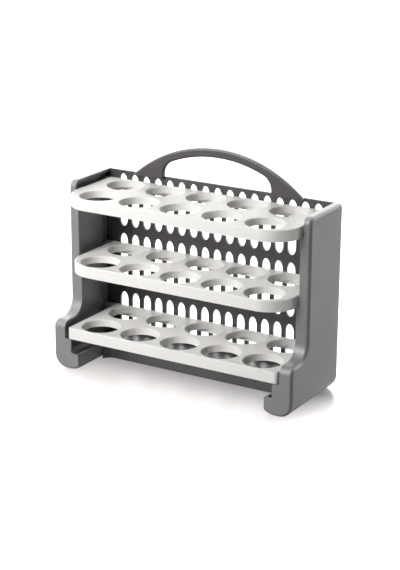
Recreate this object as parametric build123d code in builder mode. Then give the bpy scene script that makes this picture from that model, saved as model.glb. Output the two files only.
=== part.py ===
from build123d import *
import os

os.makedirs("parts", exist_ok=True)

# Egg storage rack: two channel-shaped side walls, a slotted back panel with an arched handle,
# a base shelf between the foot rails, and three egg trays that tip up about rear pins.
# X is the width, Y runs from the front to the back, Z is up, and the feet stand on Z = 0.

# Stand
wall_top = 203.0
wall_t = 3.0
flange_t = 2.6
rear_flange_t = 2.0
rear_flange_width = 14.0
rail_floor_t = 5.5
rail_width = 31.5
rail_lip_top = 19.0
rail_lip_t = 2.6
foot_radius = 15.0
foot_rise = 3.4
foot_rise_run = 11.5
edge_round = 3.5

# Outline of the side wall
overhang = 33.5
shoulder_z = 54.6
shoulder_inner_radius = 17.0
shoulder_outer_radius = 8.5
top_front_radius = 8.0
top_rear_radius = 4.0

# Front flange widths, from the top of the wall down: each tray sits on the next wider step
flange_above_top_tray = 8.5
flange_below_top_tray = 11.5
flange_below_middle_tray = 14.5
flange_below_bottom_tray = 22.5
notch_round = 2.5
ledge_round = 0.8

# Egg trays
hole_radius = 20.9
hole_pitch = 50.0
row_pitch = 51.5
holes_across = 5
hole_margin = 2.25
hole_end_margin = 15.3
tray_lip = 12.5
tray_plate_t = 2.4
tray_skirt_t = 2.0
collar_t = 1.6
collar_depth = 8.0
hole_edge_round = 1.0
tray_edge_round = 1.5
bottom_tray_corner = 4.0
bottom_tray_top = 47.9
tier_pitch = 73.2
tray_set_back = 1.0

# Tray pivots
pivot_inset = 4.2
pin_radius = 2.0
pin_in_tray = 9.0
pin_in_wall = 1.5
pin_end_chamfer = 0.3
hub_length = 13.0
boss_radius = 4.9

# Back panel and handle
panel_t = 2.7
slot_pitch = 15.0
slot_width = 10.4
slot_height = 60.0
slot_end = 9.0
slot_row_pitch = 68.4
top_slot_gap = 3.6
slot_above_shelf = 4.0
handle_height = 242.2
handle_radius = 154.4
handle_band = 9.6
handle_depth = 6.0
handle_root = 2.0
handle_foot = 36.8
handle_gap_round = 17.0
handle_edge_round = 2.2
handle_rear_inset = 1.0

# Base shelf
shelf_depth = 45.8
shelf_top = 15.6
shelf_t = 2.6
shelf_corner = 12.0
shelf_corner_tip = 0.8
peg_radius = 1.0
peg_pitch = 60.0
peg_count = 4

# Fasteners and feet
screw_radius = 1.4
screw_head_radius = 2.9
screw_head_t = 1.5
screw_length = 11.0
screw_boss_radius = 3.1
screw_boss_end = 1.2
screw_inset = 6.6
screw_heights = {"lower": 20.0, "centre": 80.0, "upper": 155.0}
recess_width = 0.7
recess_reach = 1.7
recess_depth = 0.8
pad_width = 4.6
pad_length = 20.0
pad_t = 1.8
pad_proud = 0.5
pad_end_radius = 2.2
pad_end_inset = 17.5

# Clearances
rest_gap = 0.3
side_gap = 0.4
fit_gap = 0.3
running_clearance = 0.06
press_overlap = 0.02
screw_gap = 0.1
pad_gap = 0.1
tray_rear_gap = 1.5
top_tray_end_gap = 1.3
middle_tray_end_gap = 1.5
bottom_tray_end_gap = 3.0
slot_to_flange = 5.0

# The holes set the width and the depth of the rack
hole_span = (holes_across - 1) * hole_pitch + 2 * hole_radius
tray_depth = row_pitch + 2 * hole_radius + 2 * hole_margin
rack_width = hole_span + 2 * (hole_end_margin + top_tray_end_gap + flange_above_top_tray)
rack_depth = tray_set_back + tray_depth + tray_rear_gap + panel_t + rear_flange_t

# Places worked out from the sizes above
outer_x = rack_width / 2
inner_x = outer_x - wall_t
lip_x = outer_x - rail_width
rise_x = lip_x + foot_rise_run
front_y = -rack_depth / 2
rear_y = rack_depth / 2
wall_front_y = front_y + overhang
stand_bottom = pad_proud
floor_z = stand_bottom + rail_floor_t
panel_rear_y = rear_y - rear_flange_t
panel_front_y = panel_rear_y - panel_t
panel_half_width = inner_x - fit_gap
tray_front_y = front_y + tray_set_back
tray_rear_y = tray_front_y + tray_depth
tray_centre_y = (tray_front_y + tray_rear_y) / 2
pivot_y = tray_rear_y - pivot_inset
top_tray_top = bottom_tray_top + 2 * tier_pitch
middle_tray_top = bottom_tray_top + tier_pitch
upper_tray_corner = wall_front_y - tray_front_y
screw_x = outer_x - screw_inset
pad_x = (outer_x - foot_radius + rise_x) / 2
pad_y = rear_y - pad_end_inset
top_tray_half_width = outer_x - flange_above_top_tray - top_tray_end_gap
middle_tray_half_width = outer_x - flange_below_top_tray - middle_tray_end_gap
bottom_tray_half_width = outer_x - flange_below_middle_tray - bottom_tray_end_gap
slot_reach = outer_x - rear_flange_width - slot_to_flange - slot_width / 2
slots_across = 2 * int(slot_reach / slot_pitch) + 1
peg_z = shelf_top - shelf_t / 2
above_z = wall_top + 5
beyond_x = lip_x - 10

trays = {
    "top": (top_tray_top, top_tray_half_width, upper_tray_corner),
    "middle": (middle_tray_top, middle_tray_half_width, upper_tray_corner),
    "bottom": (bottom_tray_top, bottom_tray_half_width, bottom_tray_corner),
}
sides = {"left": -1, "right": 1}
along_y = (90, 0, 0)
from_start = (Align.CENTER, Align.CENTER, Align.MIN)


def span_box(x_range, y_range, z_range, mode=Mode.ADD):
    """A box between two corners given as ranges along each axis."""
    middle = [(low + high) / 2 for low, high in (x_range, y_range, z_range)]
    size = [high - low for low, high in (x_range, y_range, z_range)]
    with Locations(tuple(middle)):
        Box(*size, mode=mode)


def wall_corners(skin, rear_skin, floor, rear_radius):
    """Corners and radii of the wall's side view, moved in by its skins and its floor."""
    front = front_y + skin
    upper_front = wall_front_y + skin
    shoulder = shoulder_z - skin
    top = wall_top - skin
    rear = rear_y - rear_skin
    bottom = stand_bottom + floor
    corners = [(front, bottom), (front, shoulder), (upper_front, shoulder)]
    corners += [(upper_front, top), (rear, top), (rear, bottom)]
    radii = [0, shoulder_outer_radius - skin, shoulder_inner_radius + skin]
    radii += [top_front_radius - skin, rear_radius, 0]
    return corners, radii


# The channel inside the right-hand wall: open towards the trays, closed by the outer skin
with BuildPart() as wall_channel:
    with BuildSketch(Plane.YZ.offset(inner_x)):
        corners, radii = wall_corners(flange_t, rear_flange_t, rail_floor_t, 0)
        with BuildLine():
            FilletPolyline(*corners, radius=radii, close=True)
        make_face()
    extrude(amount=beyond_x - inner_x)
    with BuildSketch(Plane.XZ):
        with BuildLine():
            skin_line = Line((inner_x, above_z), (inner_x, stand_bottom + foot_radius))
            corner = TangentArc(
                skin_line @ 1, (outer_x - foot_radius, floor_z), tangent=skin_line % 1
            )
            Polyline(
                corner @ 1,
                (lip_x + rail_lip_t, floor_z),
                (lip_x + rail_lip_t, rail_lip_top),
                (beyond_x, rail_lip_top),
                (beyond_x, above_z),
                (inner_x, above_z),
            )
        make_face()
    extrude(amount=rack_depth, both=True, mode=Mode.INTERSECT)

# Right side wall: outer skin, stepped front flange, top and rear flanges, J-shaped foot rail
with BuildPart() as right_side_wall:
    with BuildSketch(Plane.YZ.offset(outer_x)):
        corners, radii = wall_corners(0, 0, 0, top_rear_radius)
        with BuildLine():
            FilletPolyline(*corners, radius=radii, close=True)
        make_face()
    extrude(amount=-rail_width)
    with BuildSketch(Plane.XZ):
        with BuildLine():
            outer_line = Line((outer_x, above_z), (outer_x, stand_bottom + foot_radius))
            foot = TangentArc(
                outer_line @ 1, (outer_x - foot_radius, stand_bottom), tangent=outer_line % 1
            )
            sole = Line(foot @ 1, (rise_x, stand_bottom))
            rise = TangentArc(sole @ 1, (lip_x, stand_bottom + foot_rise), tangent=sole % 1)
            Polyline(rise @ 1, (lip_x, above_z), (outer_x, above_z))
        make_face()
    extrude(amount=rack_depth, both=True, mode=Mode.INTERSECT)
    skin_face = faces().filter_by(Axis.X).sort_by(Axis.X)[-1]
    sole_edges = edges().filter_by(lambda e: e.center().Z < stand_bottom + foot_radius)
    end_edges = sole_edges.filter_by(lambda e: abs(abs(e.center().Y) - rear_y) < 0.01)
    outline_edges = skin_face.outer_wire().edges().filter_by(lambda e: e not in sole_edges)
    fillet(outline_edges + end_edges.filter_by(Axis.Z, reverse=True), edge_round)
    add(wall_channel.part, mode=Mode.SUBTRACT)

    # Step the flange so that each tray has a ledge of its own
    ledges = [top - tray_lip - rest_gap for top, _, _ in trays.values()]
    steps = [
        outer_x - flange_above_top_tray,
        outer_x - flange_below_top_tray,
        outer_x - flange_below_middle_tray,
        outer_x - flange_below_bottom_tray,
    ]
    with BuildSketch(Plane.XZ.offset(-panel_rear_y)):
        corners = [(beyond_x, above_z), (steps[0], above_z)]
        for i, ledge in enumerate(ledges):
            corners += [(steps[i], ledge), (steps[i + 1], ledge)]
        corners += [(steps[-1], rail_lip_top), (beyond_x, rail_lip_top)]
        radii = [0, 0, *[ledge_round] * (2 * len(ledges)), notch_round, 0]
        with BuildLine():
            FilletPolyline(*corners, radius=radii, close=True)
        make_face()
    extrude(amount=rack_depth, mode=Mode.SUBTRACT)
    span_box(
        (beyond_x, outer_x - rear_flange_width),
        (panel_rear_y, rear_y),
        (rail_lip_top, above_z),
        mode=Mode.SUBTRACT,
    )

    # Bosses that hold the pivot pins
    for top, half_width, _ in trays.values():
        with BuildSketch(Plane.YZ.offset(inner_x)):
            with Locations((pivot_y, top - pivot_inset)):
                Circle(boss_radius)
        extrude(amount=half_width + side_gap - inner_x)
        with BuildSketch(Plane.YZ.offset(inner_x + pin_in_wall)):
            with Locations((pivot_y, top - pivot_inset)):
                Circle(pin_radius - press_overlap)
        extrude(amount=half_width - inner_x - pin_in_wall, mode=Mode.SUBTRACT)

    # Countersunk screw holes in the rear flange
    for height in screw_heights.values():
        with Locations((screw_x, rear_y, height)):
            Cylinder(
                screw_radius + screw_gap,
                rear_flange_t,
                rotation=along_y,
                align=from_start,
                mode=Mode.SUBTRACT,
            )
            Cone(
                screw_head_radius + screw_gap,
                screw_radius + screw_gap,
                screw_head_t,
                rotation=along_y,
                align=from_start,
                mode=Mode.SUBTRACT,
            )

    # Shallow recesses for the rubber pads
    with BuildSketch(Plane.XY.offset(stand_bottom)):
        with Locations((pad_x, -pad_y), (pad_x, pad_y)):
            RectangleRounded(pad_width + 2 * pad_gap, pad_length + 2 * pad_gap, pad_end_radius + pad_gap)
    extrude(amount=pad_t - pad_proud, mode=Mode.SUBTRACT)

right_side_wall.part.label = "right_side_wall"
export_step(right_side_wall.part, "parts/right_side_wall.step")

with BuildPart() as left_side_wall:
    mirror(right_side_wall.part, about=Plane.YZ)

left_side_wall.part.label = "left_side_wall"
export_step(left_side_wall.part, "parts/left_side_wall.step")

# Arched handle, cut away below the arch for the hand
gap_radius = handle_radius - handle_band
arch_centre_z = handle_height - handle_radius
handle_rear_y = panel_rear_y - handle_rear_inset
handle_half_width = (handle_radius**2 - (wall_top - arch_centre_z) ** 2) ** 0.5
gap_half_width = handle_half_width - handle_foot
gap_end_height = arch_centre_z + (gap_radius**2 - gap_half_width**2) ** 0.5 - wall_top
with BuildPart() as handle:
    with BuildSketch(Plane.XZ.offset(-handle_rear_y)):
        with Locations((0, arch_centre_z)):
            Circle(handle_radius)
        with Locations((0, wall_top - handle_root)):
            Rectangle(
                4 * handle_radius,
                4 * handle_radius,
                align=(Align.CENTER, Align.MAX),
                mode=Mode.SUBTRACT,
            )
    extrude(amount=handle_depth)
    with BuildSketch(Plane.XZ.offset(-handle_rear_y)):
        with Locations((0, arch_centre_z)):
            Circle(gap_radius)
        with Locations((0, wall_top - handle_root)):
            Rectangle(
                2 * gap_half_width,
                handle_height - wall_top,
                align=(Align.CENTER, Align.MIN),
                mode=Mode.INTERSECT,
            )
        gap_corners = vertices().sort_by(Axis.Y)[-2:]
        fillet(gap_corners, min(handle_gap_round, 1.3 * gap_end_height))
    extrude(amount=handle_depth, mode=Mode.SUBTRACT)
    arch_edges = edges().filter_by(GeomType.CIRCLE).filter_by(lambda e: e.length > handle_band)
    fillet(arch_edges, handle_edge_round)

# Back panel: slotted sheet with the handle above it
with BuildPart() as back_panel:
    with BuildSketch(Plane.XZ.offset(-panel_rear_y)):
        with BuildLine():
            half_outline = Polyline(
                (0, stand_bottom),
                (lip_x - fit_gap, stand_bottom),
                (lip_x - fit_gap, rail_lip_top + fit_gap),
                (panel_half_width, rail_lip_top + fit_gap),
                (panel_half_width, wall_top - flange_t - fit_gap),
                (outer_x - flange_above_top_tray - fit_gap, wall_top - flange_t - fit_gap),
                (outer_x - flange_above_top_tray - fit_gap, wall_top),
                (0, wall_top),
            )
            mirror(half_outline, about=Plane.YZ)
        make_face()
    extrude(amount=panel_t)
    with BuildSketch(Plane.XZ.offset(-panel_rear_y)):
        for row in range(3):
            slot_top = wall_top - top_slot_gap - row * slot_row_pitch
            slot_bottom = max(slot_top - slot_height, shelf_top + slot_above_shelf)
            straight = slot_top - slot_bottom - 2 * slot_end
            with Locations((0, (slot_top + slot_bottom) / 2)):
                with GridLocations(slot_pitch, 1, slots_across, 1):
                    Rectangle(slot_width, straight)
                with GridLocations(slot_pitch, straight, slots_across, 2):
                    Ellipse(slot_width / 2, slot_end)
    extrude(amount=panel_t, mode=Mode.SUBTRACT)
    add(handle.part)

    # Holes for the pegs of the base shelf
    with BuildSketch(Plane.XZ.offset(-panel_rear_y)):
        with Locations((0, peg_z)):
            with GridLocations(peg_pitch, 1, peg_count, 1):
                Circle(peg_radius - press_overlap)
    extrude(amount=panel_t, mode=Mode.SUBTRACT)

    # Screw bosses on the front of the panel
    for sign in sides.values():
        for height in screw_heights.values():
            with Locations((sign * screw_x, panel_front_y, height)):
                Cylinder(
                    screw_boss_radius,
                    screw_length + screw_boss_end - rear_flange_t - panel_t,
                    rotation=along_y,
                    align=from_start,
                )
            with Locations((sign * screw_x, rear_y, height)):
                Cylinder(
                    screw_radius - press_overlap,
                    screw_length,
                    rotation=along_y,
                    align=from_start,
                    mode=Mode.SUBTRACT,
                )

back_panel.part.label = "back_panel"
export_step(back_panel.part, "parts/back_panel.step")

# Base shelf: hollow below, with a rim that flares forward where it meets the foot rails
shelf_front_y = panel_front_y - shelf_depth
shelf_half_width = lip_x - fit_gap
shelf_tip_back = (shelf_corner**2 - (shelf_corner - shelf_corner_tip) ** 2) ** 0.5
with BuildPart() as base_shelf:
    with BuildSketch(Plane.XY.offset(stand_bottom)):
        with Locations((0, panel_front_y)):
            Rectangle(
                2 * shelf_half_width,
                shelf_depth + shelf_corner - shelf_tip_back,
                align=(Align.CENTER, Align.MAX),
            )
        with Locations((0, shelf_front_y)):
            RectangleRounded(
                2 * shelf_half_width,
                4 * shelf_corner,
                shelf_corner,
                align=(Align.CENTER, Align.MAX),
                mode=Mode.SUBTRACT,
            )
    extrude(amount=shelf_top - stand_bottom)
    span_box(
        (shelf_t - shelf_half_width, shelf_half_width - shelf_t),
        (shelf_front_y + shelf_t, panel_front_y),
        (stand_bottom, shelf_top - shelf_t),
        mode=Mode.SUBTRACT,
    )
    with BuildSketch(Plane.XZ.offset(-panel_front_y)):
        with Locations((0, peg_z)):
            with GridLocations(peg_pitch, 1, peg_count, 1):
                Circle(peg_radius)
    extrude(amount=-panel_t)

base_shelf.part.label = "base_shelf"
export_step(base_shelf.part, "parts/base_shelf.step")


def egg_tray(top, half_width, corner):
    """A tray with its rim turned down, a collar under each hole and a hub for each pivot pin."""
    with BuildPart() as tray:
        with BuildSketch(Plane.XY.offset(top)) as plan:
            with Locations((0, tray_centre_y)):
                Rectangle(2 * half_width, tray_depth)
            fillet(plan.vertices().group_by(Axis.Y)[0], corner)
        extrude(amount=-tray_lip)
        with BuildSketch(Plane.XY.offset(top - tray_lip)):
            add(plan.sketch.moved(Location((0, 0, -tray_lip))))
            offset(amount=-tray_skirt_t, kind=Kind.INTERSECTION)
        extrude(amount=tray_lip - tray_plate_t, mode=Mode.SUBTRACT)
        with BuildSketch(Plane.XY.offset(top - collar_depth)):
            with Locations((0, tray_centre_y)):
                with GridLocations(hole_pitch, row_pitch, holes_across, 2):
                    Circle(hole_radius + collar_t)
        extrude(amount=collar_depth - tray_plate_t)
        for sign in sides.values():
            with BuildSketch(Plane.YZ.offset(sign * (half_width - tray_skirt_t))):
                with Locations((pivot_y, top - pivot_inset)):
                    Circle(pivot_inset)
            extrude(amount=-sign * (hub_length - tray_skirt_t))
        with BuildSketch(Plane.XY.offset(top)):
            with Locations((0, tray_centre_y)):
                with GridLocations(hole_pitch, row_pitch, holes_across, 2):
                    Circle(hole_radius)
        extrude(amount=-tray_lip, mode=Mode.SUBTRACT)
        rim = faces().filter_by(Axis.Z).sort_by(Axis.Z)[-1]
        fillet(rim.outer_wire().edges(), tray_edge_round)
        rim = faces().filter_by(Axis.Z).sort_by(Axis.Z)[-1]
        fillet(rim.inner_wires().edges(), hole_edge_round)
        for sign in sides.values():
            with BuildSketch(Plane.YZ.offset(sign * half_width)):
                with Locations((pivot_y, top - pivot_inset)):
                    Circle(pin_radius + running_clearance)
            extrude(amount=-sign * pin_in_tray, mode=Mode.SUBTRACT)
    return tray.part


for name, (top, half_width, corner) in trays.items():
    tray_part = egg_tray(top, half_width, corner)
    tray_part.label = f"{name}_egg_tray"
    export_step(tray_part, f"parts/{name}_egg_tray.step")

# Pivot pins: pressed into the wall bosses, free to turn in the tray hubs
for name, (top, half_width, _) in trays.items():
    for side, sign in sides.items():
        pin_start = half_width - pin_in_tray
        with BuildPart() as pin:
            with BuildSketch(Plane.YZ.offset(sign * pin_start)):
                with Locations((pivot_y, top - pivot_inset)):
                    Circle(pin_radius)
            extrude(amount=sign * (inner_x + pin_in_wall - pin_start))
            chamfer(edges().filter_by(GeomType.CIRCLE), pin_end_chamfer)
        pin.part.label = f"{name}_{side}_pivot_pin"
        export_step(pin.part, f"parts/{name}_{side}_pivot_pin.step")

# Countersunk screws that hold the walls to the back panel
for side, sign in sides.items():
    for name, height in screw_heights.items():
        with BuildPart() as screw:
            with Locations((sign * screw_x, rear_y, height)):
                Cylinder(screw_radius, screw_length, rotation=along_y, align=from_start)
                Cone(
                    screw_head_radius,
                    screw_radius,
                    screw_head_t,
                    rotation=along_y,
                    align=from_start,
                )
            with Locations((sign * screw_x, rear_y - recess_depth / 2, height)):
                Box(2 * recess_reach, recess_depth, recess_width, mode=Mode.SUBTRACT)
                Box(recess_width, recess_depth, 2 * recess_reach, mode=Mode.SUBTRACT)
        screw.part.label = f"{name}_{side}_screw"
        export_step(screw.part, f"parts/{name}_{side}_screw.step")

# Rubber pads under the foot rails
for side, sign in sides.items():
    for end, end_y in {"front": -pad_y, "rear": pad_y}.items():
        with BuildPart() as pad:
            with BuildSketch():
                with Locations((sign * pad_x, end_y)):
                    RectangleRounded(pad_width, pad_length, pad_end_radius)
            extrude(amount=pad_t)
        pad.part.label = f"{end}_{side}_foot_pad"
        export_step(pad.part, f"parts/{end}_{side}_foot_pad.step")
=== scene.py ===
import math

import bmesh
import bpy
from mathutils import Matrix, Vector

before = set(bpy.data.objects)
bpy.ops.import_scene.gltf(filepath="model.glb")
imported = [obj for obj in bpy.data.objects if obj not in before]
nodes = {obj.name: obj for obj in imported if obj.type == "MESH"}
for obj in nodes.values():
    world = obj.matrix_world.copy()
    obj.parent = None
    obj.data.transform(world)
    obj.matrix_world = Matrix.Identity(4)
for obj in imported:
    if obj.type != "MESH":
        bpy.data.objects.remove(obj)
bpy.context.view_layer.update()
print("frame loaded:", len(nodes), "pieces")

# Camera
photoView = {
    "eye": (0.8231, -1.3733, 0.6283),
    "target": (0.00917, -0.003, 0.10658),
    "roll": 0.36,  # degrees, anticlockwise in the picture
    "lens": 100.58,  # mm, as is the sensor's width
    "sensor": 36.0,
    "clip": (0.05, 30.0),
}


def makeCamera(view):
    data = bpy.data.cameras.new("photoCamera")
    data.lens = view["lens"]
    data.sensor_width = view["sensor"]
    data.clip_start, data.clip_end = view["clip"]
    camera = bpy.data.objects.new("photoCamera", data)
    bpy.context.scene.collection.objects.link(camera)
    eye = Vector(view["eye"])
    turn = (Vector(view["target"]) - eye).to_track_quat("-Z", "Y").to_matrix().to_4x4()
    roll = Matrix.Rotation(math.radians(view["roll"]), 4, "Z")
    camera.matrix_world = Matrix.Translation(eye) @ turn @ roll
    bpy.context.scene.camera = camera


makeCamera(photoView)
bpy.context.scene.view_settings.view_transform = "Standard"
print("camera placed")

# Light
studioLight = {
    "ambient": 0.024,  # light from the room on matt surfaces
    "dark": 0.04,  # brightness of the room where it is dark, in reflections
    "bright": 4.8,  # and where it is bright
    "backdrop": 1.0,  # what the camera sees behind the rack
    "away": (-0.82, 0.57, 0.0),  # direction away from the dark side of the room
    "edge": (-0.6, 0.1),  # where along it the room turns from dark to bright
    "softboxes": [
        # name, place, aims at, width, height, watts, beam in degrees
        ("keyFront", (-0.36, -0.85, 0.72), (-0.17, 0.0, 0.22), 0.7, 0.6, 3.12, 78.0),
        ("topSoft", (0.0, 0.4, 1.3), (0.0, 0.0, 0.15), 1.2, 0.8, 1.5, 180.0),
        ("rightSide", (1.3, 0.9, 0.36), (0.0, 0.0, 0.12), 0.25, 0.9, 6.8, 180.0),
    ],
}


def addSoftbox(name, place, aim, width, height, watts, beam):
    data = bpy.data.lights.new(name, "AREA")
    data.shape = "RECTANGLE"
    data.size, data.size_y = width, height
    data.energy = watts
    data.spread = math.radians(beam)
    lamp = bpy.data.objects.new(name, data)
    bpy.context.scene.collection.objects.link(lamp)
    turn = (Vector(aim) - Vector(place)).to_track_quat("-Z", "Y").to_matrix().to_4x4()
    lamp.matrix_world = Matrix.Translation(place) @ turn


def directlySeen(tree):
    # 1 for the camera and for rays that bounce off or pass through gloss, 0 for matt light
    path = tree.nodes.new("ShaderNodeLightPath")
    seen = path.outputs["Is Camera Ray"]
    for kind in ("Is Glossy Ray", "Is Transmission Ray"):
        both = tree.nodes.new("ShaderNodeMath")
        both.operation = "MAXIMUM"
        tree.links.new(seen, both.inputs[0])
        tree.links.new(path.outputs[kind], both.inputs[1])
        seen = both.outputs[0]
    return seen, path.outputs["Is Camera Ray"]


def litSide(tree, place, light, edge):
    # 0 toward the dark side of the room, 1 elsewhere
    along = tree.nodes.new("ShaderNodeVectorMath")
    along.operation = "DOT_PRODUCT"
    along.inputs[1].default_value = light["away"]
    tree.links.new(place, along.inputs[0])
    fade = tree.nodes.new("ShaderNodeMapRange")
    fade.interpolation_type = "SMOOTHSTEP"
    fade.inputs["From Min"].default_value, fade.inputs["From Max"].default_value = edge
    tree.links.new(along.outputs["Value"], fade.inputs["Value"])
    return fade


def chooseValue(tree, factor, low, high):
    mix = tree.nodes.new("ShaderNodeMix")
    tree.links.new(factor, mix.inputs["Factor"])
    for value, socket in ((low, "A"), (high, "B")):
        if isinstance(value, float):
            mix.inputs[socket].default_value = value
        else:
            tree.links.new(value, mix.inputs[socket])
    return mix.outputs["Result"]


def makeWorld(light):
    # White backdrop behind the rack and a dark room to the right of the camera.
    # The camera itself sees white.
    world = bpy.data.worlds.new("studioWorld")
    bpy.context.scene.world = world
    world.use_nodes = True
    tree = world.node_tree
    tree.nodes.clear()
    seen, seenByCamera = directlySeen(tree)
    direction = tree.nodes.new("ShaderNodeTexCoord")
    lit = litSide(tree, direction.outputs["Generated"], light, light["edge"])
    lit.inputs["To Min"].default_value = light["dark"]
    lit.inputs["To Max"].default_value = light["bright"]
    reflected = chooseValue(tree, seen, light["ambient"], lit.outputs[0])
    shade = tree.nodes.new("ShaderNodeBackground")
    shade.inputs["Color"].default_value = (1, 1, 1, 1)
    strength = chooseValue(tree, seenByCamera, reflected, light["backdrop"])
    tree.links.new(strength, shade.inputs["Strength"])
    out = tree.nodes.new("ShaderNodeOutputWorld")
    tree.links.new(shade.outputs[0], out.inputs[0])


makeWorld(studioLight)
for softbox in studioLight["softboxes"]:
    addSoftbox(*softbox)
print("light placed")

# Effects shared by the mouldings


def newGroup(name, inputs, outputs):
    group = bpy.data.node_groups.new(name, "ShaderNodeTree")
    for label, value in inputs:
        socket = group.interface.new_socket(label, in_out="INPUT", socket_type="NodeSocketFloat")
        socket.default_value = value
    for label, kind in outputs:
        group.interface.new_socket(label, in_out="OUTPUT", socket_type=kind)
    return group, group.nodes.new("NodeGroupInput"), group.nodes.new("NodeGroupOutput")


skinNoise = {
    "grainDetail": 2.0,
    "driftDetail": 3.0,
    "driftSpread": (0.3, 0.7),  # the part of the noise that spans the range of gloss
    "driftMiddle": 0.5,
}


def mouldedSkin(noise):
    # Spark-eroded mould texture: fine grain, and a slow drift in gloss and tone
    group, given, out = newGroup(
        "mouldedSkin",
        [
            ("Grain Size", 0.0006),
            ("Drift Size", 0.03),
            ("Gloss Low", 0.4),
            ("Gloss High", 0.5),
            ("Tone Drift", 0.03),
        ],
        [(label, "NodeSocketFloat") for label in ("Height", "Roughness", "Tone")],
    )
    new, link = group.nodes.new, group.links.new
    coords = new("ShaderNodeTexCoord")

    def perSize(socket):
        node = new("ShaderNodeMath")
        node.operation = "DIVIDE"
        node.inputs[0].default_value = 1.0
        link(given.outputs[socket], node.inputs[1])
        return node.outputs[0]

    grain = new("ShaderNodeTexNoise")
    grain.inputs["Detail"].default_value = noise["grainDetail"]
    link(coords.outputs["Object"], grain.inputs["Vector"])
    link(perSize("Grain Size"), grain.inputs["Scale"])
    link(grain.outputs["Fac"], out.inputs["Height"])

    drift = new("ShaderNodeTexNoise")
    drift.inputs["Detail"].default_value = noise["driftDetail"]
    link(coords.outputs["Object"], drift.inputs["Vector"])
    link(perSize("Drift Size"), drift.inputs["Scale"])

    gloss = new("ShaderNodeMapRange")
    low, high = noise["driftSpread"]
    gloss.inputs["From Min"].default_value, gloss.inputs["From Max"].default_value = low, high
    link(drift.outputs["Fac"], gloss.inputs["Value"])
    link(given.outputs["Gloss Low"], gloss.inputs["To Min"])
    link(given.outputs["Gloss High"], gloss.inputs["To Max"])
    link(gloss.outputs[0], out.inputs["Roughness"])

    tone = new("ShaderNodeMath")
    tone.operation = "MULTIPLY_ADD"
    centred = new("ShaderNodeMath")
    centred.operation = "SUBTRACT"
    centred.inputs[1].default_value = noise["driftMiddle"]
    link(drift.outputs["Fac"], centred.inputs[0])
    link(centred.outputs[0], tone.inputs[0])
    link(given.outputs["Tone Drift"], tone.inputs[1])
    tone.inputs[2].default_value = 1.0
    link(tone.outputs[0], out.inputs["Tone"])
    return group


skinGroup = mouldedSkin(skinNoise)

plastics = {
    "standGrey": {"colour": (0.2, 0.2, 0.202), "grain": 0.0007, "drift": 0.035, "gloss": (0.34, 0.44),
                  "toneDrift": 0.06, "bump": 0.06, "bumpDepth": 0.00006, "specular": 0.5},
    # the walls' grey plastic, painted darker as shade for the back panel, handle and base shelf inside
    # the rack
    "panelGreyPaintedShade": {"colour": (0.05, 0.045, 0.044), "grain": 0.0007, "drift": 0.035, "gloss": (0.36, 0.46),
                  "toneDrift": 0.06, "bump": 0.06, "bumpDepth": 0.00006, "specular": 0.5},
    "trayWhite": {"colour": (0.83, 0.815, 0.785), "grain": 0.0009, "drift": 0.04, "gloss": (0.38, 0.48),
                  "toneDrift": 0.02, "bump": 0.04, "bumpDepth": 0.00005, "specular": 0.15},
    "padRubber": {"colour": (0.03, 0.03, 0.03), "grain": 0.0008, "drift": 0.01, "gloss": (0.7, 0.85),
                  "toneDrift": 0.2, "bump": 0.3, "bumpDepth": 0.0001, "specular": 0.5},
}


def plasticMaterial(name, look):
    material = bpy.data.materials.new(name)
    material.use_nodes = True
    tree = material.node_tree
    shader = tree.nodes["Principled BSDF"]
    skin = tree.nodes.new("ShaderNodeGroup")
    skin.node_tree = skinGroup
    skin.inputs["Grain Size"].default_value = look["grain"]
    skin.inputs["Drift Size"].default_value = look["drift"]
    skin.inputs["Gloss Low"].default_value = look["gloss"][0]
    skin.inputs["Gloss High"].default_value = look["gloss"][1]
    skin.inputs["Tone Drift"].default_value = look["toneDrift"]
    tint = tree.nodes.new("ShaderNodeVectorMath")
    tint.operation = "SCALE"
    tint.inputs[0].default_value = look["colour"]
    tree.links.new(skin.outputs["Tone"], tint.inputs["Scale"])
    tree.links.new(tint.outputs[0], shader.inputs["Base Color"])
    tree.links.new(skin.outputs["Roughness"], shader.inputs["Roughness"])
    shader.inputs["Specular IOR Level"].default_value = look["specular"]
    bump = tree.nodes.new("ShaderNodeBump")
    bump.inputs["Strength"].default_value = look["bump"]
    bump.inputs["Distance"].default_value = look["bumpDepth"]
    tree.links.new(skin.outputs["Height"], bump.inputs["Height"])
    tree.links.new(bump.outputs["Normal"], shader.inputs["Normal"])
    return material


finishes = {name: plasticMaterial(name, look) for name, look in plastics.items()}


steel = {"colour": (0.62, 0.62, 0.61), "grainScale": 1500.0, "gloss": (0.25, 0.45)}


def steelMaterial(look):
    material = bpy.data.materials.new("pinSteel")
    material.use_nodes = True
    tree = material.node_tree
    shader = tree.nodes["Principled BSDF"]
    shader.inputs["Metallic"].default_value = 1.0
    shader.inputs["Base Color"].default_value = (*look["colour"], 1)
    coords = tree.nodes.new("ShaderNodeTexCoord")
    turning = tree.nodes.new("ShaderNodeTexNoise")
    turning.inputs["Scale"].default_value = look["grainScale"]
    tree.links.new(coords.outputs["Object"], turning.inputs["Vector"])
    spread = tree.nodes.new("ShaderNodeMapRange")
    spread.inputs["To Min"].default_value, spread.inputs["To Max"].default_value = look["gloss"]
    tree.links.new(turning.outputs["Fac"], spread.inputs["Value"])
    tree.links.new(spread.outputs[0], shader.inputs["Roughness"])
    return material


finishes["pinSteel"] = steelMaterial(steel)

nodeFinish = {
    "tray": "trayWhite",
    "wall": "standGrey",
    # the back panel and base shelf take the grey that is painted darker as shade
    "panel": "panelGreyPaintedShade",
    "shelf": "panelGreyPaintedShade",
    "pin": "pinSteel",
    "screw": "pinSteel",
    "pad": "padRubber",
}
softEdge = {"weld": 0.000001, "width": 0.00035, "segments": 2, "angle": 30.0}

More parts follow.
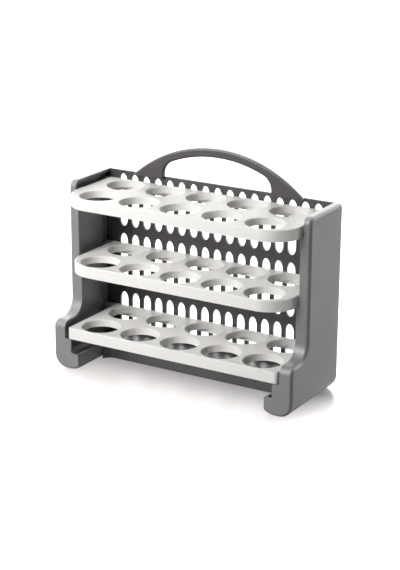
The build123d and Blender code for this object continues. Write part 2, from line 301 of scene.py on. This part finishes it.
for name, piece in nodes.items():
    piece.data.materials.clear()
    piece.data.materials.append(finishes[nodeFinish[name.rsplit("_", 1)[-1]]])
    for face in piece.data.polygons:
        face.use_smooth = True
    weld = piece.modifiers.new("weld", "WELD")
    weld.merge_threshold = softEdge["weld"]
    rounding = piece.modifiers.new("softEdge", "BEVEL")
    rounding.width = softEdge["width"]
    rounding.segments = softEdge["segments"]
    rounding.limit_method = "ANGLE"
    rounding.angle_limit = math.radians(softEdge["angle"])
    level = piece.modifiers.new("evenShade", "WEIGHTED_NORMAL")
    level.keep_sharp = False
print("finishes on")

# Floor
floorLook = {
    "size": 12.0,
    "colour": 0.12,
    "roughness": (0.18, 0.4),  # under the rack and away from it
    "mirror": 2.2,  # index of refraction, high so that the shine is strong
    "paintedLightPool": 0.5,  # brightness of the painted light pool: the floor glows on the lit side, seen only in reflections
    "paintedLightPoolEdge": (-0.25, 0.0),  # metres along the light's direction over which the painted light pool sets in
    "glow": (0.1, 0.97),  # brightness the floor shows to the camera: low under the rack, which is a painted shadow there, and full away from it
    # warm tint of the glow, seen only in the painted shadow as painted warm bounce light
    "glowTint": (1.0, 0.97, 0.955),
    "middle": 0.03,  # depth of the darkest line of the painted shadow, under the base shelf
    "fade": 0.115,  # from there to the full glow, where the painted shadow ends
    "beside": (0.13, 0.212),  # half widths between which the painted shadow also fades to the sides
}


def makeFloor(look, light):
    shape = bmesh.new()
    bmesh.ops.create_grid(shape, x_segments=1, y_segments=1, size=look["size"] / 2)
    mesh = bpy.data.meshes.new("floor")
    shape.to_mesh(mesh)
    shape.free()
    floor = bpy.data.objects.new("floor", mesh)
    bpy.context.scene.collection.objects.link(floor)
    material = bpy.data.materials.new("paleFloor")
    material.use_nodes = True
    tree = material.node_tree
    new, link = tree.nodes.new, tree.links.new
    shader = tree.nodes["Principled BSDF"]
    shader.inputs["Base Color"].default_value = (look["colour"],) * 3 + (1,)
    shader.inputs["IOR"].default_value = look["mirror"]

    # Mask of the painted shadow under the rack: distance from its darkest line, reaching further to the
    # sides; the roughness follows it too
    coords = new("ShaderNodeTexCoord")
    split = new("ShaderNodeSeparateXYZ")
    link(coords.outputs["Object"], split.inputs[0])
    width = new("ShaderNodeMath")
    width.operation = "ABSOLUTE"
    link(split.outputs["X"], width.inputs[0])
    beside = new("ShaderNodeMapRange")
    near, far = look["beside"]
    beside.inputs["From Min"].default_value, beside.inputs["From Max"].default_value = near, far
    beside.inputs["To Max"].default_value = look["fade"]
    link(width.outputs[0], beside.inputs["Value"])
    depth = new("ShaderNodeMath")
    depth.operation = "SUBTRACT"
    depth.inputs[1].default_value = look["middle"]
    link(split.outputs["Y"], depth.inputs[0])
    away = new("ShaderNodeMath")
    away.operation = "ABSOLUTE"
    link(depth.outputs[0], away.inputs[0])
    reach = new("ShaderNodeMath")
    link(away.outputs[0], reach.inputs[0])
    link(beside.outputs[0], reach.inputs[1])

    def fadeAway(low, high):
        node = new("ShaderNodeMapRange")
        node.inputs["From Max"].default_value = look["fade"]
        node.inputs["To Min"].default_value = low
        node.inputs["To Max"].default_value = high
        link(reach.outputs[0], node.inputs["Value"])
        return node.outputs[0]

    link(fadeAway(*look["roughness"]), shader.inputs["Roughness"])
    seen, seenByCamera = directlySeen(tree)
    # Painted light pool: the floor glows for reflected rays only, which puts painted reflections on the
    # rack
    paintedLightPool = litSide(tree, coords.outputs["Object"], light, look["paintedLightPoolEdge"])
    paintedLightPool.inputs["To Max"].default_value = look["paintedLightPool"]
    reflected = chooseValue(tree, seen, 0.0, paintedLightPool.outputs[0])
    shader.inputs["Emission Color"].default_value = (*look["glowTint"], 1)
    # Painted shadow: the glow the camera sees is low under the rack and full away from it
    glow = chooseValue(tree, seenByCamera, reflected, fadeAway(*look["glow"]))
    link(glow, shader.inputs["Emission Strength"])
    mesh.materials.append(material)


makeFloor(floorLook, studioLight)
print("floor laid")
